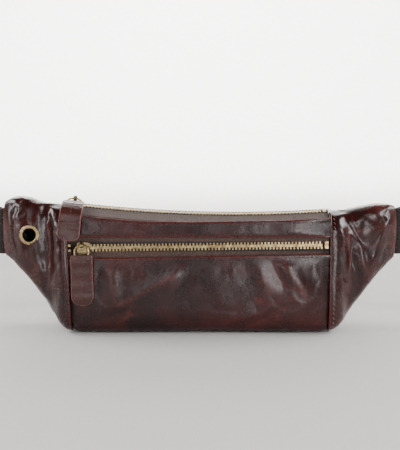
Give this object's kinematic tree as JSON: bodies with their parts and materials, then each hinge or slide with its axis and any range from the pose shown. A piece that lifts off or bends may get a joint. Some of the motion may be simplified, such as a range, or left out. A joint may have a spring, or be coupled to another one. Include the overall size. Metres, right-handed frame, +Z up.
{
  "type": "waist pack",
  "caption": "Leather waist pack with tapered wings, a top zip, a front pocket zip, leather pull tabs, a cable eyelet and a webbing strap with a side-release buckle.",
  "frame": {"origin": "middle of the flat base, below the front zips' centre", "axes": "+X along the bag to the viewer's right, -Y out of the front, +Z up"},
  "size_m": [0.3506, 0.1469, 0.1157],
  "materials": {
    "leather": "satin",
    "pull_leather": "satin",
    "zip_tape": "matte",
    "antique_brass": "satin",
    "webbing": "matte",
    "lining": "matte",
    "buckle_plastic": "matte"
  },
  "bodies": {
    "root": {"pocket_panel": "leather", "upper_band": "leather", "back_panel": "leather", "pocket_lining": "lining", "main_lining": "lining", "left_wing_front": "leather", "left_wing_back": "leather", "right_wing_front": "leather", "right_wing_back": "leather", "left_seam_binding": "leather", "right_seam_binding": "leather", "eyelet": "antique_brass", "eyelet_washer": "antique_brass", "main_tape_front": "zip_tape", "main_tape_back": "zip_tape", "main_teeth_front": "antique_brass", "main_teeth_back": "antique_brass", "main_top_stops": "antique_brass", "main_bottom_stop": "antique_brass", "pocket_tape_upper": "zip_tape", "pocket_tape_lower": "zip_tape", "pocket_teeth_upper": "antique_brass", "pocket_teeth_lower": "antique_brass", "pocket_top_stops": "antique_brass", "pocket_bottom_stop": "antique_brass", "left_webbing": "webbing", "right_webbing": "webbing", "buckle_female": "buckle_plastic"},
    "main_slider": {"main_slider": "antique_brass"},
    "main_pull_ring": {"main_pull_ring": "antique_brass"},
    "main_pull_tab": {"main_pull_tab": "pull_leather"},
    "pocket_slider": {"pocket_slider": "antique_brass"},
    "pocket_pull_ring": {"pocket_pull_ring": "antique_brass"},
    "pocket_pull_tab": {"pocket_pull_tab": "pull_leather"},
    "buckle_male": {"buckle_male": "buckle_plastic"},
    "buckle_arm_upper": {"buckle_arm_upper": "buckle_plastic"},
    "buckle_arm_lower": {"buckle_arm_lower": "buckle_plastic"},
    "web_keeper": {"web_keeper": "buckle_plastic"}
  },
  "joints": [
    {"name": "main_slider_run", "type": "hinge", "parent": "root", "child": "main_slider", "pos_m": [0.03, -0.001, 1.2475], "axis": [0, -1, 0], "range_deg": [0, 9.91], "deforming": ["main_teeth_front", "main_teeth_back", "main_tape_front", "main_tape_back"]},
    {"name": "main_ring_swing", "type": "hinge", "parent": "main_slider", "child": "main_pull_ring", "pos_m": [-0.10396, 0.00072, 0.11085], "axis": [-0.9933, 0, 0.1158], "range_deg": [0, 120]},
    {"name": "main_tab_swing", "type": "hinge", "parent": "main_pull_ring", "child": "main_pull_tab", "pos_m": [-0.10437, -0.00883, 0.1073], "axis": [-0.9933, 0, 0.1158], "range_deg": [0, 60]},
    {"name": "pocket_slider_run", "type": "slide", "parent": "root", "child": "pocket_slider", "axis": [0.9999, 0, 0.0122], "range_m": [0, 0.1905], "deforming": ["pocket_teeth_upper", "pocket_teeth_lower", "pocket_tape_upper", "pocket_tape_lower"]},
    {"name": "pocket_ring_swing", "type": "hinge", "parent": "pocket_slider", "child": "pocket_pull_ring", "pos_m": [-0.09673, -0.0249, 0.07532], "axis": [-0.9999, 0, -0.0122], "range_deg": [0, 70]},
    {"name": "pocket_tab_swing", "type": "hinge", "parent": "pocket_pull_ring", "child": "pocket_pull_tab", "pos_m": [-0.09661, -0.027, 0.06534], "axis": [-0.9999, 0, -0.0122], "range_deg": [0, 60]},
    {"name": "buckle_release", "type": "slide", "parent": "root", "child": "buckle_male", "axis": [1, 0, 0], "range_m": [0, 0.028], "deforming": ["right_webbing", "buckle_arm_upper", "buckle_arm_lower"]},
    {"name": "upper_arm_squeeze", "type": "hinge", "parent": "buckle_male", "child": "buckle_arm_upper", "pos_m": [0.003, 0.112, 0.0372], "axis": [0, -1, 0], "range_deg": [0, 9], "stiffness_Nm_per_rad": 0.05},
    {"name": "lower_arm_squeeze", "type": "hinge", "parent": "buckle_male", "child": "buckle_arm_lower", "pos_m": [0.003, 0.112, 0.0092], "axis": [0, 1, 0], "range_deg": [0, 9], "stiffness_Nm_per_rad": 0.05},
    {"name": "keeper_slide", "type": "slide", "parent": "root", "child": "web_keeper", "axis": [1, 0, 0], "range_m": [-0.012, 0.006]}
  ]
}
